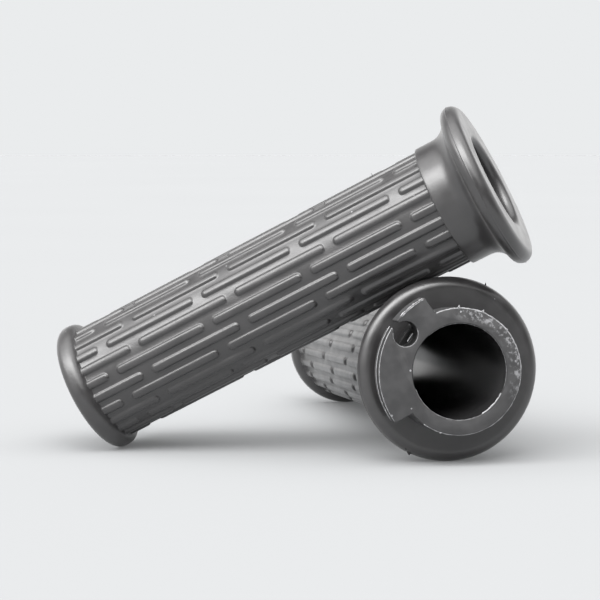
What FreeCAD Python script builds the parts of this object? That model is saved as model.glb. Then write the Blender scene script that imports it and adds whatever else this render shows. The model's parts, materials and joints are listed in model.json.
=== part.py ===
"""A pair of motorcycle handlebar grips, in millimetres, +Z up, standing on Z = 0.

The throttle grip lies on its flange and its end bead: a ribbed rubber sleeve on a moulded throttle tube with
a cable drum at its inner end. The plain grip of the same pattern stands on its own end bead and leans over
the throttle grip's flange. Each grip is modelled upright on its own axis, closed end at the bottom, and is
then laid in place. X runs along the lean, Y away from the throttle tube's open end.
"""
import FreeCAD, Part
import math
import os
import Sketcher

doc = FreeCAD.newDocument("grip_pair")

# ---------------------------------------------------------------- driving sizes (mm and degrees)
SIZES = {
    "plain_bore_radius": (10.95, "plain grip's bore, a tight fit on a 22 mm bar"),
    "plain_rubber": (3.05, "rubber between that bore and the surface between the ribs"),
    "tube_bore_radius": (11.25, "throttle tube's bore, running on a 22 mm bar"),
    "tube_wall": (1.5, "wall of the throttle tube inside the sleeve"),
    "throttle_rubber": (1.25, "rubber between the tube and the surface between the ribs"),
    "end_wall": (3.0, "rubber closing the outer end of each grip"),
    "vent_radius": (4.0, "hole through the end wall"),
    "bead_step": (2.4, "how far the outer bead stands out of the base"),
    "bead_foot": (0.4, "flat step between the base and the bead's rounding"),
    "bead_flat": (0.8, "straight part of the bead between its two roundings"),
    "barrel_length": (95.1, "ribbed barrel from the bead to the collar"),
    "rib_height": (0.6, "how far a rib stands out of the base"),
    "rib_root": (0.5, "how deep a rib's root goes into the base"),
    "rib_width": (2.0, "width of a rib"),
    "rib_rows": (12.0, "rows of each of the two kinds round the grip"),
    "rib_pitch": (26.8, "length of one rib and one gap"),
    "rib_gap": (2.7, "clear gap between two ribs of a row"),
    "first_gap_long": (14.8, "bead to the middle of a row's first gap, after a long rib"),
    "first_gap_short": (6.9, "the same after a short rib"),
    "collar_step": (1.2, "how far the smooth collar stands out of the base"),
    "collar_to_rim": (11.15, "start of the collar to the flange's largest diameter"),
    "rim_back": (2.3, "rounding of the flange's rim behind that diameter"),
    "rim_front": (2.4, "the same in front of it, up to the front face"),
    "flare_radius": (4.5, "hollow curve between collar and flange"),
    "throttle_rim_step": (7.8, "how far the throttle grip's flange stands out of the base"),
    "plain_rim_step": (6.6, "how far the plain grip's flange stands out of the base"),
    "throttle_mouth_round": (0.5, "rounding of the throttle grip's mouth, under the tube's ring"),
    "plain_mouth_round": (1.6, "rounding of the plain grip's mouth"),
    "ring_step": (2.0, "ring at the tube's inner end, out of the tube"),
    "ring_length": (8.55, "how far the ring stands out of the flange"),
    "drum_step": (4.45, "cable drum, a sector that stands out of the ring"),
    "drum_thickness": (4.8, "thickness of the drum along the tube"),
    "drum_half_angle": (50.45, "half of the angle that the drum's rim covers"),
    "drum_root_half_angle": (54.95, "half of the angle at the drum's root"),
    "drum_root_depth": (1.6, "how deep the drum's root goes into the ring"),
    "drum_middle": (166.05, "direction of the drum's middle, from the tube's own X"),
    "nipple_radius": (3.0, "hole that holds the cable's barrel nipple"),
    "nipple_step": (0.95, "middle of the nipple hole outside the ring"),
    "nipple_angle": (145.1, "direction of the nipple hole"),
    "slot_width": (2.1, "slot that lets the cable into the nipple hole"),
    "slot_angle": (139.5, "direction in which the slot leaves the nipple hole"),
    "groove_width": (1.7, "cable groove in the drum's rim"),
    "groove_depth": (1.3, "its depth"),
    "groove_start": (143.0, "where the groove starts, at the slot"),
    "groove_sweep": (84.0, "angle that the groove runs through, past the drum's end"),
    "groove_setback": (2.3, "groove's middle behind the tube's front face"),
}

sheet = doc.addObject("Spreadsheet::Sheet", "Sizes")
for row, (name, (number, meaning)) in enumerate(SIZES.items(), start=1):
    sheet.set(f"A{row}", name)
    sheet.set(f"B{row}", str(number))
    sheet.setAlias(f"B{row}", name)
    sheet.set(f"C{row}", meaning)
doc.recompute()

# how the two grips are laid out (mm and degrees)
THROTTLE_RIM_AT = (34.9, -22.0)     # plan position of the throttle grip's rim centre
THROTTLE_HEADING = -78.6            # plan direction from its closed end to its tube's mouth
THROTTLE_RIB_ROLL = 18.0            # turn of its rib pattern about its own axis
PLAIN_BEAD_AT = (-50.15, 1.3)       # plan position of the plain grip's bead centre
PLAIN_HEADING = -11.65              # plan direction from its closed end to its flange
PLAIN_RIB_ROLL = 13.0
REST_GAP = 0.2                      # air left where the plain grip rests on the throttle grip
STEEPEST_LEAN = 60.0
LEAN_STEPS = 24
NO_LENGTH = 1e-9                    # lengths below this are nought


class Size:
    """A number together with the sheet expression that gives it."""

    def __init__(self, text, number):
        self.text = text
        self.number = float(number)

    def __add__(self, other):
        return Size(f"({self.text} + {other.text})", self.number + other.number)

    def __sub__(self, other):
        return Size(f"({self.text} - {other.text})", self.number - other.number)

    def __mul__(self, factor):
        return Size(f"({self.text} * {factor})", self.number * factor)

    def __neg__(self):
        return Size(f"(-{self.text})", -self.number)

    def over(self, other):
        """This length as a share of another."""
        return Size(f"({self.text} / {other.text})", self.number / other.number)

    def share(self, part):
        """A share of this length."""
        return Size(f"({self.text} * {part.text})", self.number * part.number)

    def other_leg(self, leg):
        """Second leg of the right triangle that has this long side and this first leg."""
        length = math.sqrt(self.number ** 2 - leg.number ** 2)
        return Size(f"sqrt({self.text} ^ 2 - {leg.text} ^ 2)", length)

    def along(self, angle):
        """The part of this length that lies along a direction."""
        number = self.number * math.cos(math.radians(angle.number))
        return Size(f"({self.text} * cos({angle.text}))", number)

    def across(self, angle):
        """The part of this length that lies across a direction."""
        number = self.number * math.sin(math.radians(angle.number))
        return Size(f"({self.text} * sin({angle.text}))", number)


def size(name):
    """The size that the sheet holds under this name."""
    return Size(f"Sizes.{name}", SIZES[name][0])


NOTHING = Size("0", 0.0)
START, END, CENTRE = 1, 2, 3
ORIGIN = -1


# ---------------------------------------------------------------- sizes that follow from others
def tube_outside():
    """Radius of the throttle tube inside its sleeve."""
    return size("tube_bore_radius") + size("tube_wall")


def bore_radius(kind):
    """Radius of a rubber grip's bore."""
    return tube_outside() if kind == "throttle" else size("plain_bore_radius")


def base_radius(kind):
    """Radius of the rubber between the ribs."""
    return bore_radius(kind) + size(f"{kind}_rubber")


def bead_round():
    """Rounding of the bead's two corners."""
    return size("bead_step") - size("bead_foot")


def bead_width():
    """Length of the bead along the grip."""
    return bead_round() * 2 + size("bead_flat")


def collar_start():
    """Where the ribs run into the smooth collar, from the closed end."""
    return bead_width() + size("barrel_length")


def rim_plane():
    """Plane of the flange's largest diameter, from the closed end."""
    return collar_start() + size("collar_to_rim")


def flange_front():
    """Front face of the flange."""
    return rim_plane() + size("rim_front")


def tube_front():
    """Front face of the tube's ring and drum."""
    return flange_front() + size("ring_length")


def ring_radius():
    """Radius of the ring at the tube's inner end."""
    return tube_outside() + size("ring_step")


def drum_radius():
    """Radius of the cable drum."""
    return ring_radius() + size("drum_step")


def nipple_centre():
    """Middle of the nipple hole, across and up."""
    distance = ring_radius() + size("nipple_step")
    return distance.along(size("nipple_angle")), distance.across(size("nipple_angle"))


# ---------------------------------------------------------------- sketch helpers
def origin_feature(body, role):
    """One of a body's own origin planes or axes."""
    for feature in body.Origin.OriginFeatures:
        if feature.Role == role:
            return feature
    raise RuntimeError(f"{body.Name} has no {role}")


def new_sketch(body, role, name):
    """A sketch lying on one of the body's origin planes."""
    sketch = body.newObject("Sketcher::SketchObject", name)
    sketch.AttachmentSupport = [(origin_feature(body, role), "")]
    sketch.MapMode = "FlatFace"
    return sketch


def dimension(sketch, kind, places, length):
    """A named distance or radius that follows the sheet."""
    index = sketch.addConstraint(Sketcher.Constraint(kind, *places, length.number))
    sketch.setExpression(f"Constraints[{index}]", length.text)


def place_point(sketch, line, end, across, up):
    """Fix one point of the sketch by its two coordinates."""
    for kind, length in (("DistanceX", across), ("DistanceY", up)):
        if abs(length.number) < NO_LENGTH:
            sketch.addConstraint(Sketcher.Constraint(kind, ORIGIN, START, line, end, 0.0))
        elif length.number > 0:
            dimension(sketch, kind, (ORIGIN, START, line, end), length)
        else:
            dimension(sketch, kind, (line, end, ORIGIN, START), -length)


def arc_between(first, last, radius, bulge):
    """Counter-clockwise arc whose centre is left (bulge +1) or right (-1) of the way from first to last."""
    chord = last - first
    middle = (first + last) * 0.5
    reach = math.sqrt(max(radius ** 2 - (chord.Length / 2) ** 2, 0.0))
    left = FreeCAD.Vector(-chord.y, chord.x, 0).normalize()
    centre = middle + left * (reach * bulge)
    crown = centre - left * (radius * bulge)
    if bulge > 0:
        return Part.Arc(first, crown, last)
    return Part.Arc(last, crown, first)


def draw_outline(sketch, points):
    """Closed outline. Each point is (across, up) or (across, up, radius, bulge) when an arc leaves it."""
    spots = [FreeCAD.Vector(point[0].number, point[1].number, 0) for point in points]
    for index, point in enumerate(points):
        first, last = spots[index], spots[(index + 1) % len(points)]
        if len(point) == 4:
            edge = arc_between(first, last, point[2].number, point[3])
        else:
            edge = Part.LineSegment(first, last)
        sketch.addGeometry(edge, False)
    ends = []
    for point in points:
        turned = len(point) == 4 and point[3] < 0
        ends.append((END, START) if turned else (START, END))
    for index, point in enumerate(points):
        following = (index + 1) % len(points)
        joint = (index, ends[index][1], following, ends[following][0])
        sketch.addConstraint(Sketcher.Constraint("Coincident", *joint))
        place_point(sketch, index, ends[index][0], point[0], point[1])
        if len(point) == 4:
            dimension(sketch, "Radius", (index,), point[2])


def revolve(body, sketch, name):
    """Turn an outline once round the body's own axis."""
    feature = body.newObject("PartDesign::Revolution", name)
    feature.Profile = sketch
    feature.ReferenceAxis = (origin_feature(body, "Z_Axis"), [""])
    feature.Angle = 360.0
    return feature


# ---------------------------------------------------------------- rubber grips
def rubber_outline(kind):
    """Half section of a grip: end wall, bead, barrel, collar, flare, flange, mouth and bore."""
    base, bore, vent = base_radius(kind), bore_radius(kind), size("vent_radius")
    bead, rounding, width = base + size("bead_step"), bead_round(), bead_width()
    collar, collar_at = base + size("collar_step"), collar_start()
    rim, plane = base + size(f"{kind}_rim_step"), rim_plane()
    back, front, flare = size("rim_back"), size("rim_front"), size("flare_radius")
    mouth = size(f"{kind}_mouth_round")
    # the hollow flare leaves the collar along the grip and runs smoothly into the back of the rim
    overhang = rim - back - collar - flare
    flare_start = plane - (flare + back).other_leg(overhang)
    hollow = flare.over(flare + back)
    meeting = (collar + flare + overhang.share(hollow), flare_start + (plane - flare_start).share(hollow))
    return [
        (vent, NOTHING),
        (bead - rounding, NOTHING, rounding, 1),
        (bead, rounding),
        (bead, width - rounding, rounding, 1),
        (bead - rounding, width),
        (base, width),
        (base, collar_at),
        (collar, collar_at),
        (collar, flare_start, flare, -1),
        (*meeting, back, 1),
        (rim, plane, front, 1),
        (rim - front, plane + front),
        (bore + mouth, plane + front, mouth, 1),
        (bore, plane + front - mouth),
        (bore, size("end_wall")),
        (vent, size("end_wall")),
    ]


def rib_spans(first_gap):
    """Start and end of each rib of a row, from inside the bead to inside the collar."""
    gap, pitch = size("rib_gap") * 0.5, size("rib_pitch")
    start = bead_width() - bead_round()
    stop = collar_start() + size("rib_width")
    middle = bead_width() + first_gap
    spans = []
    while middle.number + gap.number < collar_start().number:
        spans.append((start, middle - gap))
        start = middle + gap
        middle = middle + pitch
    spans.append((start, stop))
    return spans


def draw_rib(sketch, low, high):
    """Long rib with round ends, centred on the sketch's upright axis."""
    half = size("rib_width") * 0.5
    bottom, top = low + half, high - half
    lower, upper = FreeCAD.Vector(0, bottom.number, 0), FreeCAD.Vector(0, top.number, 0)
    side, normal = FreeCAD.Vector(half.number, 0, 0), FreeCAD.Vector(0, 0, 1)
    top_arc = sketch.addGeometry(Part.ArcOfCircle(Part.Circle(upper, normal, half.number), 0, math.pi), False)
    bottom_arc = sketch.addGeometry(
        Part.ArcOfCircle(Part.Circle(lower, normal, half.number), math.pi, 2 * math.pi), False)
    right = sketch.addGeometry(Part.LineSegment(lower + side, upper + side), False)
    left = sketch.addGeometry(Part.LineSegment(upper - side, lower - side), False)
    for arc, height in ((top_arc, top), (bottom_arc, bottom)):
        place_point(sketch, arc, CENTRE, NOTHING, height)
        dimension(sketch, "Radius", (arc,), half)
    corners = ((right, END, top_arc, START), (top_arc, END, left, START),
               (left, END, bottom_arc, START), (bottom_arc, END, right, START))
    for corner in corners:
        sketch.addConstraint(Sketcher.Constraint("Tangent", *corner))


def rib_rows(body, name, kind, first_gap, turn):
    """One row of ribs, repeated round the grip; turn is the row's angle in half row pitches."""
    sketch = new_sketch(body, "XZ_Plane", f"{name}_outline")
    for low, high in rib_spans(first_gap):
        draw_rib(sketch, low, high)
    root = base_radius(kind) - size("rib_root")
    angle = Size(f"({turn} * 180 / Sizes.rib_rows)", turn * 180.0 / SIZES["rib_rows"][0])
    about_grip = FreeCAD.Rotation(FreeCAD.Vector(0, 1, 0), angle.number)
    sketch.AttachmentOffset = FreeCAD.Placement(FreeCAD.Vector(0, 0, root.number), about_grip)
    sketch.setExpression("AttachmentOffset.Base.x", root.across(angle).text)
    sketch.setExpression("AttachmentOffset.Base.z", root.along(angle).text)
    sketch.setExpression("AttachmentOffset.Rotation.Angle", angle.text)
    pad = body.newObject("PartDesign::Pad", f"{name}_ribs")
    pad.Profile = sketch
    pad.setExpression("Length", (size("rib_root") + size("rib_height")).text)
    rows = body.newObject("PartDesign::PolarPattern", f"{name}_rows")
    rows.Originals = [pad]
    rows.Axis = (origin_feature(body, "Z_Axis"), [""])
    rows.Angle = 360.0
    rows.setExpression("Occurrences", "Sizes.rib_rows")
    body.Tip = rows


def rubber_grip(label, kind):
    """A ribbed rubber grip, upright on its closed end."""
    body = doc.addObject("PartDesign::Body", label)
    body.Label = label
    section = new_sketch(body, "XZ_Plane", f"{kind}_section")
    draw_outline(section, rubber_outline(kind))
    revolve(body, section, f"{kind}_rubber")
    rib_rows(body, f"{kind}_long", kind, size("first_gap_long"), 0)
    rib_rows(body, f"{kind}_short", kind, size("first_gap_short"), 1)
    return body


# ---------------------------------------------------------------- throttle tube
def tube_section():
    """Half section of the tube and its ring."""
    bore, outside, ring = size("tube_bore_radius"), tube_outside(), ring_radius()
    return [
        (bore, size("end_wall")),
        (outside, size("end_wall")),
        (outside, flange_front()),
        (ring, flange_front()),
        (ring, tube_front()),
        (bore, tube_front()),
    ]


def cable_drum(body):
    """The drum: a sector on the ring, in the plane of the tube's front face."""
    sketch = new_sketch(body, "XY_Plane", "drum_outline")
    rim, root = drum_radius(), ring_radius() - size("drum_root_depth")
    half, root_half = size("drum_half_angle"), size("drum_root_half_angle")
    draw_outline(sketch, [
        (root.along(root_half), -root.across(root_half)),
        (rim.along(half), -rim.across(half), rim, 1),
        (rim.along(half), rim.across(half)),
        (root.along(root_half), root.across(root_half), root, -1),
    ])
    middle = size("drum_middle")
    turn = FreeCAD.Rotation(FreeCAD.Vector(0, 0, 1), middle.number)
    sketch.AttachmentOffset = FreeCAD.Placement(FreeCAD.Vector(0, 0, tube_front().number), turn)
    sketch.setExpression("AttachmentOffset.Base.z", tube_front().text)
    sketch.setExpression("AttachmentOffset.Rotation.Angle", middle.text)
    pad = body.newObject("PartDesign::Pad", "cable_drum")
    pad.Profile = sketch
    pad.Reversed = True
    pad.setExpression("Length", "Sizes.drum_thickness")
    body.Tip = pad


def front_pocket(body, name, sketch):
    """Cut a sketch that lies on the front face as deep as the drum is thick."""
    sketch.AttachmentOffset = FreeCAD.Placement(FreeCAD.Vector(0, 0, tube_front().number), FreeCAD.Rotation())
    sketch.setExpression("AttachmentOffset.Base.z", tube_front().text)
    pocket = body.newObject("PartDesign::Pocket", name)
    pocket.Profile = sketch
    pocket.setExpression("Length", "Sizes.drum_thickness")
    body.Tip = pocket


def nipple_hole(body):
    """Round hole for the cable's barrel nipple."""
    sketch = new_sketch(body, "XY_Plane", "nipple_outline")
    across, up = nipple_centre()
    centre = FreeCAD.Vector(across.number, up.number, 0)
    circle = Part.Circle(centre, FreeCAD.Vector(0, 0, 1), size("nipple_radius").number)
    hole = sketch.addGeometry(circle, False)
    place_point(sketch, hole, CENTRE, across, up)
    dimension(sketch, "Radius", (hole,), size("nipple_radius"))
    front_pocket(body, "nipple_hole", sketch)


def cable_slot(body):
    """Slot from the nipple hole out through the drum's rim."""
    sketch = new_sketch(body, "XY_Plane", "slot_outline")
    heading, half, reach = size("slot_angle"), size("slot_width") * 0.5, drum_radius() * 0.5
    inner = nipple_centre()
    outer = (inner[0] + reach.along(heading), inner[1] + reach.across(heading))
    side = (half.across(heading), half.along(heading))
    draw_outline(sketch, [
        (inner[0] + side[0], inner[1] - side[1]),
        (outer[0] + side[0], outer[1] - side[1]),
        (outer[0] - side[0], outer[1] + side[1]),
        (inner[0] - side[0], inner[1] + side[1]),
    ])
    front_pocket(body, "cable_slot", sketch)


def cable_groove(body):
    """Groove in the drum's rim that the cable winds into."""
    sketch = new_sketch(body, "XZ_Plane", "groove_outline")
    rim, depth = drum_radius(), size("groove_depth")
    middle, half = tube_front() - size("groove_setback"), size("groove_width") * 0.5
    draw_outline(sketch, [
        (rim - depth, middle - half),
        (rim + depth, middle - half),
        (rim + depth, middle + half),
        (rim - depth, middle + half),
    ])
    start = size("groove_start")
    turn = FreeCAD.Rotation(FreeCAD.Vector(0, 1, 0), start.number)
    sketch.AttachmentOffset = FreeCAD.Placement(FreeCAD.Vector(), turn)
    sketch.setExpression("AttachmentOffset.Rotation.Angle", start.text)
    groove = body.newObject("PartDesign::Groove", "cable_groove")
    groove.Profile = sketch
    groove.ReferenceAxis = (origin_feature(body, "Z_Axis"), [""])
    groove.setExpression("Angle", "Sizes.groove_sweep")
    body.Tip = groove


def throttle_tube(label):
    """The moulded throttle tube, upright, its cable drum at the top."""
    body = doc.addObject("PartDesign::Body", label)
    body.Label = label
    section = new_sketch(body, "XZ_Plane", "tube_section")
    draw_outline(section, tube_section())
    revolve(body, section, "tube_wall")
    cable_drum(body)
    nipple_hole(body)
    cable_slot(body)
    cable_groove(body)
    return body


# ---------------------------------------------------------------- laying the grips in place
def turned_about_own_axis(heading, lean, roll):
    """Rotation that lays an upright grip along a plan heading, its flange raised by the lean."""
    yaw = FreeCAD.Rotation(FreeCAD.Vector(0, 0, 1), heading + 90.0)
    tip_over = FreeCAD.Rotation(FreeCAD.Vector(1, 0, 0), 90.0 - lean)
    own_turn = FreeCAD.Rotation(FreeCAD.Vector(0, 0, 1), roll)
    return yaw.multiply(tip_over).multiply(own_turn)


def corner_drop(radius, height, rounding, lean):
    """How far a rounded edge reaches below the grip's closed end centre at this lean."""
    tilt = math.radians(lean)
    return radius * math.cos(tilt) - height * math.sin(tilt) + rounding


def throttle_lean():
    """Lean of a grip that lies on its bead and its flange."""
    base, rounding, rim_back = base_radius("throttle").number, bead_round().number, SIZES["rim_back"][0]
    rise = (base + SIZES["throttle_rim_step"][0] - rim_back) - (base + SIZES["bead_step"][0] - rounding)
    run = rim_plane().number - rounding
    reach = math.hypot(rise, run)
    return math.degrees(math.atan2(rise, run) + math.asin((rim_back - rounding) / reach))


def standing_placement(kind, anchor, anchor_height, heading, lean, roll):
    """Bead on the floor; the axis passes over a plan point at a given distance from the closed end."""
    rounding = bead_round().number
    turn = turned_about_own_axis(heading, lean, roll)
    axis = turn.multVec(FreeCAD.Vector(0, 0, 1))
    edge = base_radius(kind).number + SIZES["bead_step"][0] - rounding
    height = corner_drop(edge, rounding, rounding, lean)
    foot = FreeCAD.Vector(anchor[0], anchor[1], 0) - FreeCAD.Vector(axis.x, axis.y, 0) * anchor_height
    return FreeCAD.Placement(FreeCAD.Vector(foot.x, foot.y, height), turn)


def throttle_placement(roll):
    """The throttle grip, or its tube, lying on bead and flange."""
    return standing_placement("throttle", THROTTLE_RIM_AT, rim_plane().number, THROTTLE_HEADING,
                              throttle_lean(), roll)


def plain_placement(lean, roll):
    """The plain grip, standing on its bead and leaning over."""
    return standing_placement("plain", PLAIN_BEAD_AT, bead_width().number / 2, PLAIN_HEADING, lean, roll)


def smooth_shape(kind):
    """The grip's outside turned from its rib tops, for resting one grip on the other."""
    base, ribs_end, plane = base_radius(kind).number, collar_start().number, rim_plane().number
    back, front = SIZES["rim_back"][0], SIZES["rim_front"][0]
    rim = base + SIZES[f"{kind}_rim_step"][0]
    barrel = Part.makeCylinder(base + SIZES["rib_height"][0], ribs_end)
    collar = Part.makeCylinder(base + SIZES["collar_step"][0], plane - back - ribs_end,
                               FreeCAD.Vector(0, 0, ribs_end))
    edge = Part.makeTorus(rim - back, back, FreeCAD.Vector(0, 0, plane))
    disc = Part.makeCylinder(rim - back, back + front, FreeCAD.Vector(0, 0, plane - back))
    return Part.makeCompound([barrel, collar, edge, disc])


def middle_of(shapes):
    """Plan position of the middle of the box round some shapes."""
    boxes = [shape.optimalBoundingBox(False, False) for shape in shapes]
    across = (min(box.XMin for box in boxes) + max(box.XMax for box in boxes)) / 2
    away = (min(box.YMin for box in boxes) + max(box.YMax for box in boxes)) / 2
    return FreeCAD.Vector(across, away, 0)


def plain_lean(throttle_place):
    """Lean at which the plain grip clears the throttle grip by the rest gap."""
    below = smooth_shape("throttle").transformed(throttle_place.toMatrix())
    above = smooth_shape("plain")
    low, high = 0.0, STEEPEST_LEAN
    for step in range(LEAN_STEPS):
        lean = (low + high) / 2
        gap = above.transformed(plain_placement(lean, 0.0).toMatrix()).distToShape(below)[0]
        if gap > REST_GAP:
            high = lean
        else:
            low = lean
    return high


# ---------------------------------------------------------------- build, check and write
tube = throttle_tube("throttle_tube")
sleeve = rubber_grip("throttle_sleeve", "throttle")
plain = rubber_grip("plain_grip", "plain")
doc.recompute()

throttle_place = throttle_placement(0.0)
sleeve_place = throttle_placement(THROTTLE_RIB_ROLL)
lean = plain_lean(throttle_place)
plain_place = plain_placement(lean, PLAIN_RIB_ROLL)
subparts = {tube: throttle_place, sleeve: sleeve_place, plain: plain_place}
for part, place in subparts.items():
    part.Placement = place
doc.recompute()

# the origin is on the floor under the middle of the pair
middle = middle_of([part.Shape for part in subparts])
for part, place in subparts.items():
    place.Base = place.Base - middle
    part.Placement = place
doc.recompute()

for thing in doc.Objects:
    if "Invalid" in thing.State or "Error" in thing.State:
        raise RuntimeError(f"{thing.Name} failed: {thing.State}")
os.makedirs("parts", exist_ok=True)
for part in subparts:
    shape = part.Shape
    if shape.isNull() or not shape.isValid() or len(shape.Solids) != 1:
        raise RuntimeError(f"{part.Label} is not one valid solid")
    shape.exportStep(f"parts/{part.Label}.step")
    print(part.Label, round(shape.Volume, 1), shape.BoundBox)
for label, place in (("throttle", throttle_place), ("plain", plain_place)):
    for name, direction in (("own X", (1, 0, 0)), ("own Y", (0, 1, 0)), ("own axis", (0, 0, 1))):
        print(label, name, tuple(place.Rotation.multVec(FreeCAD.Vector(*direction))))
    print(label, "closed end", tuple(place.Base))
print("lean", throttle_lean(), lean)
print("gap between the grips", round(plain.Shape.distToShape(sleeve.Shape)[0], 3))
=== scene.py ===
"""A pair of ribbed rubber handlebar grips: one on its throttle tube, the plain one leaning on its flange."""
import json
import math
import random

import bmesh
import bpy
import numpy as np
from bpy.props import FloatProperty, FloatVectorProperty, IntProperty, PointerProperty
from mathutils import Matrix, Vector


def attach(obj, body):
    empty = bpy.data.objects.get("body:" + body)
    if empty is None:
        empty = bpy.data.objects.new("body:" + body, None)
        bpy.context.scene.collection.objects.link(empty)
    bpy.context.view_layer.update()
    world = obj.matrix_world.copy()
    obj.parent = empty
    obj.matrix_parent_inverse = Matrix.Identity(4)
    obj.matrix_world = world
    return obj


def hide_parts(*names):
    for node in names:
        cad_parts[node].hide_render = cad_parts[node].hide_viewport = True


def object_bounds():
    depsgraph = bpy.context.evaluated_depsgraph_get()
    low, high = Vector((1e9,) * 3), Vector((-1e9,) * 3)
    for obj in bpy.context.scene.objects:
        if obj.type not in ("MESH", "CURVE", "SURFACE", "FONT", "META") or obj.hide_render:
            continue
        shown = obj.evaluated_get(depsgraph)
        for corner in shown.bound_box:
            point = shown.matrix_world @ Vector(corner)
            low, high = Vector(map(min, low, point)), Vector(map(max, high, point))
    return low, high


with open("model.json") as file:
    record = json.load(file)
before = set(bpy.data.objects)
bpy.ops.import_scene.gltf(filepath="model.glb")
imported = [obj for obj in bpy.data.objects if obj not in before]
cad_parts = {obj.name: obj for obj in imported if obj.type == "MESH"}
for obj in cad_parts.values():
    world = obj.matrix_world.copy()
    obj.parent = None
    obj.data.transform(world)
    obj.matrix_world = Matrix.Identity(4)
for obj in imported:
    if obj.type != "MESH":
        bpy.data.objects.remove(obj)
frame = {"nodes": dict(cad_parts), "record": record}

bl_info = {
    "name": "Handlebar grip pair",
    "version": (1, 0, 0),
    "blender": (4, 5, 0),
    "location": "View3D > Sidebar > Grips",
    "description": "Ribbed rubber grips, one on its throttle tube, with their studio",
    "category": "Add Mesh",
}

CAD_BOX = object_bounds()
MM = 0.001
SLACK = 0.02 * MM           # points nearer than this to a surface count as on it
UP = Vector((0, 0, 1))
THROTTLE_SIDE, PLAIN_SIDE = "throttle_side", "plain_side"


# ---------------------------------------------------------------- sizes and colours
def length(name, meaning, millimetres):
    """A length that is shown in the scene's own unit."""
    return FloatProperty(name=name, description=meaning, default=millimetres * MM, unit="LENGTH", precision=5)


def angle(name, meaning, degrees):
    """An angle given in degrees."""
    return FloatProperty(name=name, description=meaning, default=math.radians(degrees), unit="ROTATION")


def number(name, meaning, default):
    """A plain number."""
    return FloatProperty(name=name, description=meaning, default=default)


def share(name, meaning, default):
    """A plain number from nought to one."""
    return FloatProperty(name=name, description=meaning, default=default, min=0.0, max=1.0)


def colour(name, meaning, default):
    """A colour in three parts: red, green and blue."""
    return FloatVectorProperty(name=name, description=meaning, default=default, subtype="COLOR", size=3,
                               min=0.0, max=1.0)


class RubberSizes(bpy.types.PropertyGroup):
    """Sizes of the two rubber grips, which come from moulds of the same pattern."""
    end_wall: length("End wall", "Rubber that closes the outer end", 3.0)
    vent_radius: length("Vent radius", "Hole through the end wall", 4.0)
    bead_radius: length("Bead radius", "Outer bead at the closed end", 16.4)
    bead_width: length("Bead width", "Length of the bead along the grip", 4.8)
    bead_round: length("Bead rounding", "Rounding of the bead's corners", 2.0)
    base_radius: length("Base radius", "Rubber surface between the ribs", 14.0)
    collar_start: length("Collar start", "Where the ribs end", 99.9)
    collar_radius: length("Collar radius", "Smooth collar in front of the ribs", 15.2)
    rim_plane: length("Rim plane", "Plane of the flange's largest diameter", 111.05)
    rim_back: length("Rim back", "Rounding of the flange behind that plane", 2.3)
    rim_front: length("Rim front", "Rounding of the flange in front of it", 2.4)
    flare_radius: length("Flare radius", "Hollow curve between collar and flange", 4.5)
    seam_height: length("Seam height", "Line that the mould's joint leaves round the flange", 0.09)
    seam_width: length("Seam width", "Width of that line", 0.3)
    throttle_rim: length("Throttle flange", "Radius of the throttle grip's flange", 21.8)
    throttle_bore: length("Throttle bore", "Bore that holds the throttle tube", 12.75)
    throttle_mouth: length("Throttle mouth", "Rounding of the throttle grip's mouth", 0.5)
    plain_rim: length("Plain flange", "Radius of the plain grip's flange", 20.6)
    plain_bore: length("Plain bore", "Bore that grips the bar", 10.95)
    plain_mouth: length("Plain mouth", "Rounding of the plain grip's mouth", 1.6)


class RibSizes(bpy.types.PropertyGroup):
    """Sizes of the ribs, which stand in two kinds of row that take turns round a grip."""
    rows: IntProperty(name="Rows", description="Rows of ribs round a grip", default=24, min=2, step=2)
    height: length("Height", "How far a rib stands out", 0.6)
    width: length("Width", "Width of a rib", 2.0)
    root: length("Root", "Small hollow at a rib's foot", 0.25)
    pitch: length("Pitch", "Length of one rib and one gap", 26.8)
    gap: length("Gap", "Clear gap between two ribs of a row", 2.7)
    first_long: length("First gap, long rows", "Middle of the first gap after a long rib", 19.6)
    first_short: length("First gap, short rows", "Middle of the first gap after a short rib", 11.7)
    throttle_roll: angle("Throttle roll", "Turn of the throttle grip's pattern", 18.0)
    plain_roll: angle("Plain roll", "Turn of the plain grip's pattern", 13.0)


class TubeSizes(bpy.types.PropertyGroup):
    """Sizes of the throttle tube's front, for its edges and its flash."""
    front: length("Front face", "Front face from the closed end", 122.0)
    bore: length("Bore radius", "Bore of the tube", 11.25)
    ring: length("Ring radius", "Ring at the tube's front", 14.75)
    drum: length("Drum radius", "Cable drum on the ring", 19.2)
    nipple: length("Nipple hole", "Radius of the hole for the cable's nipple", 3.0)
    nipple_across: length("Nipple hole across", "Its middle, across from the tube's axis", -12.9)
    nipple_up: length("Nipple hole up", "Its middle, up from the tube's axis", 9.0)
    edge: length("Edge", "Rounding of the moulded edges", 0.16)


class FinishColours(bpy.types.PropertyGroup):
    """Colours of the pair and of the floor."""
    rubber: colour("Rubber", "Moulded dark grey rubber", (0.0265, 0.0253, 0.0258))
    nylon: colour("Nylon", "Moulded throttle tube", (0.050, 0.0495, 0.0505))
    flash: colour("Flash", "Thin torn edges of the moulding", (0.42, 0.42, 0.43))
    dust: colour("Dust", "Dust and fine scuffs", (0.30, 0.30, 0.31))
    floor: colour("Floor", "Pale studio floor", (0.273, 0.277, 0.281))
    backdrop: colour("Backdrop", "Backdrop that the camera sees", (0.823, 0.838, 0.847))
    light: colour("Light", "Colour of the studio light", (0.838, 0.838, 0.838))


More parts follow.
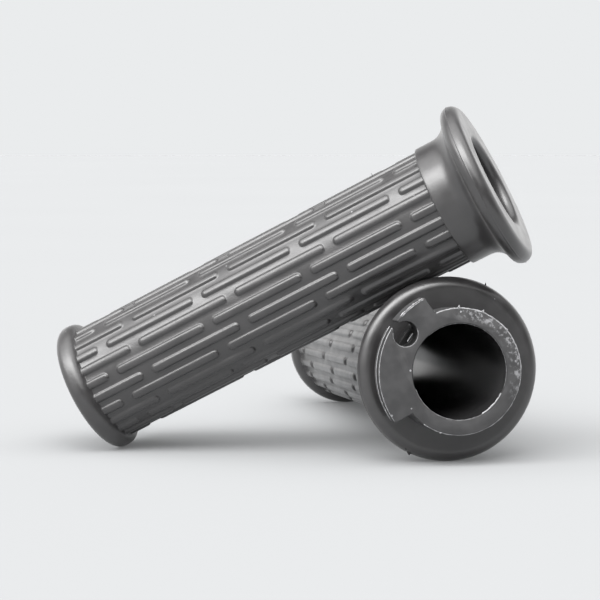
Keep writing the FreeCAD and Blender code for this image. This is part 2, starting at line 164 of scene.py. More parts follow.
class StudioSizes(bpy.types.PropertyGroup):
    """Where the camera stands, from the middle of the throttle flange, and how the room lights the pair.

    The soft box's edges are given as they look from the pair: distance across for each step of height.
    """
    camera_aside: length("Camera aside", "Camera along X from the flange", -34.907)
    camera_back: length("Camera back", "Camera along Y from the flange", -488.649)
    camera_height: length("Camera height", "Camera above the floor", 78.02)
    camera_pitch: angle("Camera pitch", "How far the camera looks down", 4.6665)
    focal_length: number("Focal length", "Lens of the camera, in millimetres", 124.46)
    sensor_width: number("Sensor width", "Width that the lens is measured on, in millimetres", 36.0)
    box_left: number("Soft box left", "Left edge of the soft box, per height above the pair", -1.7)
    box_right: number("Soft box right", "Right edge of the soft box, per height", 0.3)
    box_near: number("Soft box near", "Edge towards the camera, per height", -1.1)
    box_far: number("Soft box far", "Edge away from the camera, per height", -0.3)
    box_edge: number("Soft box edge", "Softness of its edges, per height", 0.2)
    box_light: number("Soft box light", "Brightness of the soft box", 8.5)
    halo_light: number("Halo light", "Brightness of the diffuser round the soft box", 3.0)
    halo_reach: number("Halo reach", "How far the diffuser reaches beyond it, per height", 0.8)
    halo_edge: number("Halo edge", "Softness of the diffuser's edges, per height", 0.4)
    room_front: share("Room in front", "Brightness of the room on the camera's side", 0.08)
    room_left: number("Room to the left", "Brightness of the room on the left", 1.3)
    room_back: number("Room behind", "Brightness of the room behind the pair", 1.6)
    floor_glow: share("Floor glow", "Light that the floor adds to meet the backdrop", 0.12)
    floor_reach: number("Floor reach", "Half the floor's width, in metres", 6.0)
    floor_gap: length("Floor gap", "How far the floor lies below the pair", 0.1)


# ---------------------------------------------------------------- places of the two grips
def grip_place(mount_name, node, roll=0.0):
    """Matrix that lays a grip, made upright on its closed end, along the bore that the record states."""
    bore = next(mount for mount in frame["record"]["mounts"] if mount["name"] == mount_name)
    axis, spot = Vector(bore["axis"]).normalized(), Vector(bore["pos_m"])
    lowest = min(axis.dot(vertex.co) for vertex in frame["nodes"][node].data.vertices)
    across = UP.cross(axis).normalized()
    turn = Matrix((across, axis.cross(across), axis)).transposed().to_4x4()
    closed_end = spot + axis * (lowest - axis.dot(spot))
    return Matrix.Translation(closed_end) @ turn @ Matrix.Rotation(roll, 4, "Z")


def throttle_place(roll=0.0):
    """Where the throttle grip lies."""
    return grip_place("throttle_bar_bore", "throttle_sleeve", roll)


def plain_place(roll=0.0):
    """Where the plain grip leans."""
    return grip_place("plain_bar_bore", "plain_grip", roll)


# ---------------------------------------------------------------- node helpers
def feed(tree, socket, value):
    """Link an output to a socket, or set the socket's own value."""
    if isinstance(value, bpy.types.NodeSocket):
        tree.links.new(value, socket)
    else:
        socket.default_value = value


def place_node(tree, kind, inputs=(), **settings):
    """A node with its settings and with some inputs fed by name or number."""
    node = tree.nodes.new(kind)
    for name, value in settings.items():
        setattr(node, name, value)
    for key, value in dict(inputs).items():
        feed(tree, node.inputs[key], value)
    return node


def reckon(tree, operation, *values):
    """The result of one sum."""
    return place_node(tree, "ShaderNodeMath", enumerate(values), operation=operation).outputs[0]


def fade(tree, value, low, high):
    """Nought up to low, one from high, and a smooth step between; low may lie above high."""
    at_start, at_end = (1.0, 0.0) if low > high else (0.0, 1.0)
    node = place_node(tree, "ShaderNodeMapRange", {
        "Value": value, "From Min": min(low, high), "From Max": max(low, high),
        "To Min": at_start, "To Max": at_end,
    }, interpolation_type="SMOOTHSTEP")
    return node.outputs["Result"]


def new_group(name, kind, inputs, outputs):
    """A node group with named inputs and outputs; returns its tree and the two ends of it."""
    tree = bpy.data.node_groups.new(name, kind)
    for label, socket, default in inputs:
        made = tree.interface.new_socket(name=label, in_out="INPUT", socket_type=f"NodeSocket{socket}")
        if default is not None:
            made.default_value = default
    for label, socket in outputs:
        tree.interface.new_socket(name=label, in_out="OUTPUT", socket_type=f"NodeSocket{socket}")
    return tree, tree.nodes.new("NodeGroupInput").outputs, tree.nodes.new("NodeGroupOutput").inputs


# ---------------------------------------------------------------- ribs, as geometry nodes
# a rib's rounded top: share of the way from its middle line to its foot, share of its height
RIB_CROWN = ((0.0, 1.0), (0.3, 0.97), (0.52, 0.86), (0.7, 0.6), (0.82, 0.3), (0.91, 0.08), (1.0, 0.0))


def rib_tree():
    """Raises rows of round-ended ribs on an upright turned blank; two kinds of row take turns."""
    tree, given, made = new_group("Ribs round a grip", "GeometryNodeTree", [
        ("Geometry", "Geometry", None), ("Base radius", "Float", 0.014), ("Rib height", "Float", 0.0006),
        ("Rib width", "Float", 0.002), ("Rib root", "Float", 0.0003), ("Rows", "Float", 24.0),
        ("Pitch", "Float", 0.0268), ("Gap", "Float", 0.0027), ("First gap long", "Float", 0.0196),
        ("First gap short", "Float", 0.0117), ("Ribs from", "Float", 0.0048), ("Ribs to", "Float", 0.0999),
        ("Finish", "Material", None),
    ], [("Geometry", "Geometry")])
    spot = place_node(tree, "ShaderNodeSeparateXYZ",
                      {0: tree.nodes.new("GeometryNodeInputPosition").outputs[0]}).outputs
    turn = reckon(tree, "ARCTAN2", spot["Y"], spot["X"])
    row_turn = reckon(tree, "DIVIDE", math.tau, given["Rows"])
    row_count = reckon(tree, "DIVIDE", turn, row_turn)
    row = reckon(tree, "ROUND", row_count)
    aside = reckon(tree, "MULTIPLY", reckon(tree, "SUBTRACT", row_count, row),
                   reckon(tree, "MULTIPLY", row_turn, given["Base radius"]))
    short_row = reckon(tree, "FLOORED_MODULO", row, 2.0)
    first = reckon(tree, "MULTIPLY_ADD", short_row,
                   reckon(tree, "SUBTRACT", given["First gap short"], given["First gap long"]),
                   given["First gap long"])
    half_width = reckon(tree, "MULTIPLY", given["Rib width"], 0.5)
    reach = reckon(tree, "MULTIPLY_ADD", given["Gap"], 0.5, half_width)
    last_end = reckon(tree, "SUBTRACT", given["Ribs to"], given["Rib width"])
    along = reckon(tree, "MINIMUM", spot["Z"], last_end)
    half_pitch = reckon(tree, "MULTIPLY", given["Pitch"], 0.5)
    from_gap = reckon(tree, "ABSOLUTE", reckon(
        tree, "WRAP", reckon(tree, "SUBTRACT", along, first), half_pitch,
        reckon(tree, "MULTIPLY", half_pitch, -1.0)))
    past_end = reckon(tree, "MAXIMUM", reckon(tree, "SUBTRACT", reach, from_gap), 0.0)
    distance = reckon(tree, "SQRT", reckon(tree, "ADD", reckon(tree, "MULTIPLY", aside, aside),
                                           reckon(tree, "MULTIPLY", past_end, past_end)))
    crown = tree.nodes.new("ShaderNodeFloatCurve")
    points = crown.mapping.curves[0].points
    for between in RIB_CROWN[1:-1]:
        points.new(*between)
    points[0].location, points[len(points) - 1].location = RIB_CROWN[0], RIB_CROWN[-1]
    crown.mapping.update()
    share_out = reckon(tree, "DIVIDE", distance, reckon(tree, "ADD", half_width, given["Rib root"]))
    feed(tree, crown.inputs["Value"], reckon(tree, "MINIMUM", share_out, 1.0))
    top = reckon(tree, "MULTIPLY_ADD", crown.outputs[0], given["Rib height"], given["Base radius"])
    radial = place_node(tree, "ShaderNodeCombineXYZ", {"X": spot["X"], "Y": spot["Y"]}).outputs[0]
    radius = place_node(tree, "ShaderNodeVectorMath", {0: radial}, operation="LENGTH").outputs["Value"]
    outward = place_node(tree, "ShaderNodeVectorMath", {0: radial}, operation="NORMALIZE").outputs[0]
    raised = reckon(tree, "MAXIMUM", reckon(tree, "SUBTRACT", top, radius), 0.0)
    outside = reckon(tree, "GREATER_THAN", radius, reckon(tree, "SUBTRACT", given["Base radius"], SLACK))
    above = reckon(tree, "GREATER_THAN", spot["Z"], reckon(tree, "SUBTRACT", given["Ribs from"], SLACK))
    below = reckon(tree, "LESS_THAN", spot["Z"], reckon(tree, "ADD", given["Ribs to"], SLACK))
    on_barrel = reckon(tree, "MULTIPLY", outside, reckon(tree, "MULTIPLY", above, below))
    lift = place_node(tree, "ShaderNodeVectorMath",
                      {0: outward, "Scale": reckon(tree, "MULTIPLY", raised, on_barrel)}, operation="SCALE")
    moved = place_node(tree, "GeometryNodeSetPosition",
                       {"Geometry": given["Geometry"], "Offset": lift.outputs[0]})
    real = place_node(tree, "GeometryNodeRealizeInstances", {0: moved.outputs[0]})
    finished = place_node(tree, "GeometryNodeSetMaterial",
                          {"Geometry": real.outputs[0], "Material": given["Finish"]})
    feed(tree, made["Geometry"], finished.outputs[0])
    return tree


def run_tree(thing, tree, values):
    """Run a geometry tree on an object and leave its result as the object's plain mesh."""
    modifier = thing.modifiers.new("shape", "NODES")
    modifier.node_group = tree
    names = {item.name: item.identifier for item in tree.interface.items_tree if item.in_out == "INPUT"}
    for name, value in values.items():
        modifier[names[name]] = value
    keep_result(thing)


def keep_result(thing):
    """Turn an object's modifiers into its own mesh."""
    ready = thing.evaluated_get(bpy.context.evaluated_depsgraph_get())
    mesh = bpy.data.meshes.new_from_object(ready)
    thing.modifiers.clear()
    thing.data = mesh
    mesh.name = thing.name


def new_thing(name, mesh):
    """An object in the scene for a mesh."""
    thing = bpy.data.objects.new(name, mesh)
    bpy.context.scene.collection.objects.link(thing)
    return thing


def finish_piece(thing, place, body, slot, *stands_for):
    """Lay a finished piece in place, hang it on the body it rides on, and hide the parts it stands for."""
    thing.data.transform(place)
    thing.data.shade_smooth()
    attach(thing, body)
    if stands_for:
        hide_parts(*stands_for)


# ---------------------------------------------------------------- rubber grips
class Section:
    """Half section of a turned shape: (radius, height) points, in metres."""

    def __init__(self):
        self.points = []

    def to(self, *points):
        """Straight on to some points."""
        self.points.extend(points)

    def arc(self, centre, radius, start, end, steps):
        """Round a centre from one direction to another, in degrees; 0 points outwards and 90 up."""
        for step in range(steps + 1):
            way = math.radians(start + (end - start) * step / steps)
            self.points.append((centre[0] + radius * math.cos(way), centre[1] + radius * math.sin(way)))


NICK = 0.25 * MM             # small corner between two faces of rubber
TIP_STEPS = (0.0, 0.8, 0.9, 1.0, 1.11, 1.25, 1.44, 1.74)      # lines near a rib's tip, in half gaps
SIDE_STEPS = (0.0, 0.4, 0.65, 0.84, 0.99, 1.12, 1.27)         # lines near a rib's side, in half widths
LONGEST_STEP = 3.6 * MM
SEAM_TURN = 7                # degrees of the rim's rounding, on each side, that the mould's line takes up


def barrel_heights(ribs, start, stop):
    """Heights of the rings of points along the ribs: closest together where the ribs end."""
    heights = [start, stop]
    for middle in (ribs.first_long, ribs.first_short):
        while middle < stop - ribs.gap:
            for step in TIP_STEPS:
                heights += [middle - step * ribs.gap / 2, middle + step * ribs.gap / 2]
            middle += ribs.pitch
    heights = sorted({round(height, 6) for height in heights if start <= height <= stop})
    filled = []
    for low, high in zip(heights, heights[1:]):
        parts = math.ceil((high - low) / LONGEST_STEP)
        filled += [low + (high - low) * part / parts for part in range(parts)]
    return filled + [stop]


def row_angles(rubber, ribs):
    """Angles of the lines of points round the grip: close together at the sides of every rib."""
    row_turn = math.tau / ribs.rows
    half = ribs.width / 2 / rubber.base_radius
    offsets = sorted({sign * step * half for step in SIDE_STEPS for sign in (-1, 1)} | {row_turn / 2})
    return [row * row_turn + offset for row in range(ribs.rows) for offset in offsets]


def rubber_section(rubber, ribs, kind):
    """Half section of a grip's blank, closed on itself: end face, bead, barrel, collar, flange, bore."""
    rim, bore, mouth = (getattr(rubber, f"{kind}_{part}") for part in ("rim", "bore", "mouth"))
    bead, rounding, width = rubber.bead_radius, rubber.bead_round, rubber.bead_width
    base, collar, plane = rubber.base_radius, rubber.collar_radius, rubber.rim_plane
    back, front, flare = rubber.rim_back, rubber.rim_front, rubber.flare_radius
    top, step, vent, wall = base + ribs.height, rubber.collar_start, rubber.vent_radius, rubber.end_wall
    face = plane + front
    section = Section()
    section.to((vent, NICK), (vent + NICK, 0), (bead / 2, 0), (bead - rounding - NICK, 0))
    section.arc((bead - rounding, rounding), rounding, -90, 0, 6)
    section.arc((bead - rounding, width - rounding), rounding, 0, 84, 7)
    section.to((top - NICK, width + 0.2 * NICK), (base + 0.3 * NICK, width + 0.7 * NICK))
    start, stop = width + 1.6 * NICK, step - 1.2 * NICK
    section.to(*((base, height) for height in barrel_heights(ribs, start, stop)))
    section.to((base + 0.3 * NICK, step - 0.4 * NICK), (base + NICK, step), (collar - 1.2 * NICK, step),
               (collar - 0.3 * NICK, step + 0.3 * NICK), (collar, step + 1.2 * NICK),
               (collar, step + 3 * NICK))
    # the hollow flare leaves the collar along the grip and runs smoothly into the back of the rim
    overhang = rim - back - collar - flare
    flare_start = plane - math.sqrt((flare + back) ** 2 - overhang ** 2)
    meeting = math.degrees(math.atan2(plane - flare_start, overhang))
    section.to((collar, (step + flare_start) / 2))
    section.arc((collar + flare, flare_start), flare, 180, meeting, 12)
    section.arc((rim - back, plane), back, meeting - 180, -SEAM_TURN, 12)
    half_seam = rubber.seam_width / 2
    section.to((rim, plane - half_seam), (rim + rubber.seam_height, plane - half_seam / 3),
               (rim + rubber.seam_height, plane + half_seam / 3), (rim, plane + half_seam))
    section.arc((rim - front, plane), front, SEAM_TURN, 90, 9)
    section.to((rim - front - NICK, face), (bore + mouth + NICK, face))
    section.arc((bore + mouth, face - mouth), mouth, 90, 180, 6)
    section.to((bore, face - mouth - NICK), (bore, plane / 2), (bore, wall + NICK), (bore - NICK, wall),
               (vent + NICK, wall), (vent, wall - NICK))
    return section.points


def turned_blank(name, points, angles):
    """Ring-shaped mesh: a closed half section turned once round Z."""
    section, turns = np.array(points), np.array(angles)
    rings, columns = len(section), len(turns)
    around = np.stack([np.cos(turns), np.sin(turns)], axis=1)
    spots = np.empty((rings, columns, 3))
    spots[:, :, :2] = section[:, None, :1] * around[None]
    spots[:, :, 2] = section[:, 1:]
    ring, column = np.meshgrid(np.arange(rings), np.arange(columns), indexing="ij")
    next_ring, next_column = (ring + 1) % rings, (column + 1) % columns
    corners = [ring * columns + column, ring * columns + next_column,
               next_ring * columns + next_column, next_ring * columns + column]
    mesh = bpy.data.meshes.new(name)
    mesh.from_pydata(spots.reshape(-1, 3).tolist(), [], np.stack(corners, axis=-1).reshape(-1, 4).tolist())
    return mesh


def rubber_grip(context, name, kind, place, body, slot, node):
    """One ribbed rubber grip, laid in place of its plain solid."""
    rubber, ribs = context.scene.rubber_sizes, context.scene.rib_sizes
    blank = turned_blank(name, rubber_section(rubber, ribs, kind), row_angles(rubber, ribs))
    thing = new_thing(name, blank)
    tree = bpy.data.node_groups.get("Ribs round a grip") or rib_tree()
    run_tree(thing, tree, {
        "Base radius": rubber.base_radius, "Rib height": ribs.height, "Rib width": ribs.width,
        "Rib root": ribs.root, "Rows": float(ribs.rows), "Pitch": ribs.pitch, "Gap": ribs.gap,
        "First gap long": ribs.first_long, "First gap short": ribs.first_short,
        "Ribs from": rubber.bead_width, "Ribs to": rubber.collar_start,
        "Finish": rubber_material(context, f"{kind} rubber", place),
    })
    finish_piece(thing, place, body, slot, node)


# ---------------------------------------------------------------- surface effects and materials
def moulded_skin():
    """Grain and mottling of a moulded surface."""
    tree, given, made = new_group("Moulded skin", "ShaderNodeTree", [
        ("Vector", "Vector", None), ("Grain scale", "Float", 2600.0), ("Mottle scale", "Float", 260.0),
        ("Mottle share", "Float", 0.5),
    ], [("Height", "Float"), ("Shade", "Float")])
    grain = place_node(tree, "ShaderNodeTexNoise",
                       {"Vector": given["Vector"], "Scale": given["Grain scale"], "Detail": 3.0,
                        "Roughness": 0.6}).outputs["Fac"]
    mottle = place_node(tree, "ShaderNodeTexNoise",
                        {"Vector": given["Vector"], "Scale": given["Mottle scale"], "Detail": 2.0,
                         "Roughness": 0.5}).outputs["Fac"]
    height = place_node(tree, "ShaderNodeMix", {"Factor": given["Mottle share"], 2: grain, 3: mottle})
    feed(tree, made["Height"], height.outputs[0])
    feed(tree, made["Shade"], fade(tree, mottle, 0.3, 0.7))
    return tree


def dust_specks():
    """Sparse small specks: one at most in each cell, and only in a share of the cells."""
    tree, given, made = new_group("Dust specks", "ShaderNodeTree", [
        ("Vector", "Vector", None), ("Scale", "Float", 420.0), ("Size", "Float", 0.12),
        ("Share", "Float", 0.1),
    ], [("Mask", "Float")])
    cells = place_node(tree, "ShaderNodeTexVoronoi", {"Vector": given["Vector"], "Scale": given["Scale"]})
    near = reckon(tree, "LESS_THAN", cells.outputs["Distance"], given["Size"])
    number = place_node(tree, "ShaderNodeSeparateColor", {"Color": cells.outputs["Color"]}).outputs[0]
    chosen = reckon(tree, "LESS_THAN", number, given["Share"])
    feed(tree, made["Mask"], reckon(tree, "MULTIPLY", near, chosen))
    return tree


def group_node(tree, maker, name, inputs):
    """A shared node group placed in a material with its own values."""
    node = tree.nodes.new("ShaderNodeGroup")
    node.node_tree = bpy.data.node_groups.get(name) or maker()
    for key, value in inputs.items():
        feed(tree, node.inputs[key], value)
    return node.outputs


def new_material(name):
    """A plain material, with its node tree and its surface shader."""
    material = bpy.data.materials.new(name)
    material.use_nodes = True
    tree = material.node_tree
    return material, tree, tree.nodes["Principled BSDF"]


def add_relief(tree, shader, height, strength, depth):
    """Turn a height into the small bumps of a surface."""
    bump = place_node(tree, "ShaderNodeBump", {"Height": height, "Strength": strength, "Distance": depth})
    feed(tree, shader.inputs["Normal"], bump.outputs[0])


def own_coordinates(tree, place):
    """Object coordinates turned into a grip's own frame, upright on its closed end."""
    where = tree.nodes.new("ShaderNodeTexCoord").outputs["Object"]
    mapping = place_node(tree, "ShaderNodeMapping", {"Vector": where}, vector_type="TEXTURE")
    mapping.inputs["Location"].default_value = place.to_translation()
    mapping.inputs["Rotation"].default_value = place.to_euler()
    return mapping.outputs[0]


def mixed_colour(tree, factor, first, second):
    """Two colours mixed by a factor."""
    node = place_node(tree, "ShaderNodeMix", data_type="RGBA")
    feed(tree, node.inputs["Factor"], factor)
    for socket, value in ((node.inputs[6], first), (node.inputs[7], second)):
        feed(tree, socket, value if isinstance(value, bpy.types.NodeSocket) else (*value, 1.0))
    return node.outputs[2]


def lighter(tint, factor):
    """A colour made lighter or darker."""
    return tuple(min(part * factor, 1.0) for part in tint)


def mottled(tree, shade, tint, darkest, palest):
    """A colour that follows a shade, between a darker and a paler share of itself."""
    return mixed_colour(tree, shade, lighter(tint, darkest), lighter(tint, palest))


def rubber_material(context, name, place):
    """Dark moulded rubber: satin, mottled, with fine grain on the barrel, smoother at the flange."""
    colours, rubber = context.scene.finish_colours, context.scene.rubber_sizes
    material, tree, shader = new_material(name)
    own = own_coordinates(tree, place)
    skin = group_node(tree, moulded_skin, "Moulded skin",
                      {"Vector": own, "Grain scale": 2300.0, "Mottle scale": 210.0, "Mottle share": 0.15})
    specks = group_node(tree, dust_specks, "Dust specks",
                        {"Vector": own, "Scale": 330.0, "Size": 0.07, "Share": 0.16})
    tint = mottled(tree, skin["Shade"], colours.rubber, 0.86, 1.16)
    feed(tree, shader.inputs["Base Color"], mixed_colour(tree, specks["Mask"], tint, colours.dust))
    along = place_node(tree, "ShaderNodeSeparateXYZ", {0: own}).outputs["Z"]
    flange = fade(tree, along, rubber.collar_start, rubber.collar_start + 4 * MM)
    barrel_roughness, flange_change, mottle_roughness = 0.31, -0.03, 0.09
    satin = reckon(tree, "MULTIPLY_ADD", flange, flange_change, barrel_roughness)
    roughness = reckon(tree, "MULTIPLY_ADD", skin["Shade"], mottle_roughness, satin)
    feed(tree, shader.inputs["Roughness"], roughness)
    shader.inputs["Specular IOR Level"].default_value = 1.0
    shader.inputs["Sheen Weight"].default_value = 0.12
    shader.inputs["Sheen Roughness"].default_value = 0.4
    relief = reckon(tree, "MULTIPLY", skin["Height"], reckon(tree, "MULTIPLY_ADD", flange, -0.75, 1.0))
    add_relief(tree, shader, relief, 0.55, 0.06 * MM)
    return material


def nylon_material(context, name, place):
    """Matt moulded nylon with scuffs on its front ring, and painted shade that darkens its bore and nipple
    hole.
    """
    colours, sizes = context.scene.finish_colours, context.scene.tube_sizes
    material, tree, shader = new_material(name)
    own = own_coordinates(tree, place)
    skin = group_node(tree, moulded_skin, "Moulded skin",
                      {"Vector": own, "Grain scale": 3600.0, "Mottle scale": 300.0, "Mottle share": 0.4})
    specks = group_node(tree, dust_specks, "Dust specks",
                        {"Vector": own, "Scale": 420.0, "Size": 0.10, "Share": 0.2})
    spot = place_node(tree, "ShaderNodeSeparateXYZ", {0: own}).outputs
    flat = place_node(tree, "ShaderNodeCombineXYZ", {"X": spot["X"], "Y": spot["Y"]}).outputs[0]
    radius = place_node(tree, "ShaderNodeVectorMath", {0: flat}, operation="LENGTH").outputs["Value"]
    turn = reckon(tree, "ARCTAN2", spot["Y"], spot["X"])
    at_front = fade(tree, spot["Z"], sizes.front - 0.6 * MM, sizes.front - 0.3 * MM)
    outer_half = fade(tree, radius, sizes.bore + 0.2 * MM, sizes.ring - 0.9 * MM)
    # the scuffs lie round the ring's upper right, between these angles in radians
    lower_end, upper_end = (-0.7, 0.1), (1.75, 1.3)
    upper_right = reckon(tree, "MULTIPLY", fade(tree, turn, *lower_end), fade(tree, turn, *upper_end))
    streaks = place_node(tree, "ShaderNodeTexNoise",
                         {"Vector": own, "Scale": 900.0, "Detail": 4.0, "Roughness": 0.7}).outputs["Fac"]
    broken = fade(tree, streaks, 0.5, 0.62)
    scuffs = reckon(tree, "MULTIPLY", reckon(tree, "MULTIPLY", at_front, outer_half),
                    reckon(tree, "MULTIPLY", upper_right, broken))
    in_bore = fade(tree, radius, sizes.bore + 0.3 * MM, sizes.bore + 0.1 * MM)
    outside = reckon(tree, "SUBTRACT", 1.0, in_bore)
    marks = reckon(tree, "MULTIPLY", outside,
                   reckon(tree, "MAXIMUM", reckon(tree, "MULTIPLY", scuffs, 0.7), specks["Mask"]))
    from_hole = place_node(tree, "ShaderNodeVectorMath",
                           {0: flat, 1: (sizes.nipple_across, sizes.nipple_up, 0.0)}, operation="DISTANCE")
    round_hole = fade(tree, from_hole.outputs["Value"], sizes.nipple + 0.3 * MM, sizes.nipple + 0.1 * MM)
    behind_face = fade(tree, spot["Z"], sizes.front - 0.4 * MM, sizes.front - 1.2 * MM)
    in_hole = reckon(tree, "MULTIPLY", round_hole, behind_face)
    # painted shade: the colour is darkened towards black, by half inside the bore and most of the way inside
    # the nipple hole
    painted_shade = reckon(tree, "MAXIMUM", reckon(tree, "MULTIPLY", in_bore, 0.5),
                    reckon(tree, "MULTIPLY", in_hole, 0.85))
    tint = mottled(tree, skin["Shade"], colours.nylon, 0.85, 1.18)
    tint = mixed_colour(tree, painted_shade, tint, (0.0, 0.0, 0.0))
    feed(tree, shader.inputs["Base Color"], mixed_colour(tree, marks, tint, colours.dust))
    bore_roughness, face_change, mottle_roughness, mark_roughness = 0.2, 0.18, 0.1, 0.25
    rougher = reckon(tree, "MULTIPLY_ADD", skin["Shade"], mottle_roughness, face_change)
    matt = reckon(tree, "MULTIPLY_ADD", outside, rougher, bore_roughness)
    feed(tree, shader.inputs["Roughness"], reckon(tree, "MULTIPLY_ADD", marks, mark_roughness, matt))
    add_relief(tree, shader, reckon(tree, "MULTIPLY", skin["Height"], outside), 0.5, 0.05 * MM)
    return material


def flash_material(context, name, place, light, dark):
    """Thin torn flash: paler than the moulding it hangs on, and uneven."""
    material, tree, shader = new_material(name)
    own = own_coordinates(tree, place)
    skin = group_node(tree, moulded_skin, "Moulded skin",
                      {"Vector": own, "Grain scale": 5200.0, "Mottle scale": 700.0, "Mottle share": 0.5})
    feed(tree, shader.inputs["Base Color"], mixed_colour(tree, skin["Shade"], dark, light))
    feed(tree, shader.inputs["Roughness"], reckon(tree, "MULTIPLY_ADD", skin["Height"], 0.2, 0.45))
    add_relief(tree, shader, skin["Height"], 0.5, 0.04 * MM)
    return material


# ---------------------------------------------------------------- throttle tube
MOST_SLOPE = 0.05                    # faces that lean more than this along the axis aren't a straight bore
WELD = 0.002 * MM                    # corners nearer than this to each other are one corner
FLAT_ANGLE = math.radians(0.6)       # faces that meet at less than this are one flat face
EDGE_ANGLE = math.radians(35)        # edges sharper than this are rounded


def round_normals(mesh, place):
    """Give the faces that lie round a grip's axis their true radial normals, so that long ones look round."""
    into, turn = place.inverted(), place.to_3x3()
    normals = [corner.vector.copy() for corner in mesh.corner_normals]
    for face in mesh.polygons:
        spots = [into @ mesh.vertices[vertex].co for vertex in face.vertices]
        radii = [spot.xy.length for spot in spots]
        facing = turn.transposed() @ face.normal
        if max(radii) - min(radii) > SLACK or abs(facing.z) > MOST_SLOPE:
            continue
        side = math.copysign(1.0, facing.xy.dot(spots[0].xy))
        for corner, spot in zip(face.loop_indices, spots):
            normals[corner] = turn @ (Vector((spot.x, spot.y, 0)).normalized() * side)
    mesh.normals_split_custom_set(normals)


# ---------------------------------------------------------------- flash and nibs
def ragged_heights(count, seed, smallest, largest, spikes=()):
    """Uneven heights along a torn edge, with a few taller spikes at given shares of its length."""
    chance = random.Random(seed)
    rough = [chance.uniform(smallest, largest) for _ in range(count + 1)]
    heights = [(rough[max(step - 1, 0)] + 2 * rough[step] + rough[min(step + 1, count)]) / 4
               for step in range(count + 1)]
    for where, height in spikes:
        heights[round(where * count)] += height
    return heights


def torn_edge(shape, centre, radius, height_at, start, sweep, lean, heights, thickness):
    """A ragged fin on a round edge. lean is the fin's direction: 0 outwards, 90 forwards, 180 inwards."""
    count = len(heights) - 1
    way = math.radians(lean)
    out, forward = math.cos(way), math.sin(way)
    rows = []
    for step, height in enumerate(heights):
        turn = math.radians(start + sweep * step / count)
        side = Vector((math.cos(turn), math.sin(turn), 0))
        foot = Vector(centre) + side * radius + UP * height_at
        rise = side * out + UP * forward
        across = side * forward - UP * out
        rows.append([shape.verts.new(foot + across * thickness / 2 - rise * thickness),
                     shape.verts.new(foot - across * thickness / 2 - rise * thickness),
                     shape.verts.new(foot + rise * height)])
    for near, far in zip(rows, rows[1:]):
        for one, other in ((0, 1), (1, 2), (2, 0)):
            shape.faces.new((near[one], near[other], far[other], far[one]))
    shape.faces.new(rows[0])
    shape.faces.new(rows[-1])


def shape_to_thing(name, shape, material):
    """A named object from loose bmesh work, its faces turned outwards."""
    bmesh.ops.recalc_face_normals(shape, faces=shape.faces)
    mesh = bpy.data.meshes.new(name)
    shape.to_mesh(mesh)
    shape.free()
    mesh.materials.append(material)
    return new_thing(name, mesh)


# levels of a nib: share of its height, share of its width, how far it bends as a share of its height
NIB_LEVELS = ((0.0, 1.0, 0.0), (0.35, 0.75, 0.05), (0.7, 0.45, 0.18), (1.0, 0.14, 0.4))
NIB_ROOT = 0.25             # share of a nib's height that lies inside the rubber
NIB_CORNERS = 6


def nib(shape, foot, outward, sideways, height, width):
    """A small bent nib of rubber, half as thick as it is wide, left where the mould's halves meet."""
    ahead = outward.cross(sideways) * 0.5
    rings = []
    for rise, share_left, bend in NIB_LEVELS:
        middle = foot + outward * (height * (rise - NIB_ROOT)) + sideways * (bend * height)
        ways = (math.tau * corner / NIB_CORNERS for corner in range(NIB_CORNERS))
        rings.append([shape.verts.new(middle + (sideways * math.cos(way) + ahead * math.sin(way))
                                      * (width * share_left / 2)) for way in ways])
    for near, far in zip(rings, rings[1:]):
        for corner in range(NIB_CORNERS):
            following = (corner + 1) % NIB_CORNERS
            shape.faces.new((near[corner], near[following], far[following], far[corner]))
    shape.faces.new(rings[0])
    shape.faces.new(rings[-1])


# ---------------------------------------------------------------- studio
# where the room's walls, its back and its left side fade in, as parts of a direction one unit long
WALL_FADE, BACK_FADE, LEFT_FADE = (0.75, 0.1), (-0.3, 0.4), (-0.1, -0.6)
LEAST_RISE = 0.001          # keeps level directions from dividing by nought


def studio_world(colours, studio):
    """Soft room light by direction: a soft box overhead, a bright room behind and a dark one in front."""
    world = bpy.data.worlds.new("studio")
    world.use_nodes = True
    tree = world.node_tree
    background = tree.nodes["Background"]
    way = place_node(tree, "ShaderNodeSeparateXYZ",
                     {0: tree.nodes.new("ShaderNodeTexCoord").outputs["Generated"]}).outputs
    height = reckon(tree, "MAXIMUM", way["Z"], LEAST_RISE)
    aside, along = (reckon(tree, "DIVIDE", way[axis], height) for axis in ("X", "Y"))
    sides = ((aside, studio.box_left, studio.box_right), (along, studio.box_near, studio.box_far))
    box = 0.0
    for light, grown, edge in ((studio.box_light, 0.0, studio.box_edge),
                               (studio.halo_light, studio.halo_reach, studio.halo_edge)):
        for place, low, high in sides:
            first, last = low - grown, high + grown
            light = reckon(tree, "MULTIPLY", fade(tree, place, first - edge, first + edge), light)
            light = reckon(tree, "MULTIPLY", fade(tree, place, last + edge, last - edge), light)
        box = reckon(tree, "ADD", box, light)
    walls = fade(tree, way["Z"], *WALL_FADE)
    behind = reckon(tree, "MULTIPLY", fade(tree, way["Y"], *BACK_FADE), walls)
    to_left = reckon(tree, "MULTIPLY", fade(tree, way["X"], *LEFT_FADE), walls)
    room = reckon(tree, "MULTIPLY_ADD", behind, studio.room_back - studio.room_front, studio.room_front)
    room = reckon(tree, "MAXIMUM", room, reckon(tree, "MULTIPLY", to_left, studio.room_left))
    seen = tree.nodes.new("ShaderNodeLightPath").outputs["Is Camera Ray"]
    strength = place_node(tree, "ShaderNodeMix", {"Factor": seen, 2: reckon(tree, "ADD", box, room), 3: 1.0})
    feed(tree, background.inputs["Color"], mixed_colour(tree, seen, colours.light, colours.backdrop))
    feed(tree, background.inputs["Strength"], strength.outputs[0])
    return world


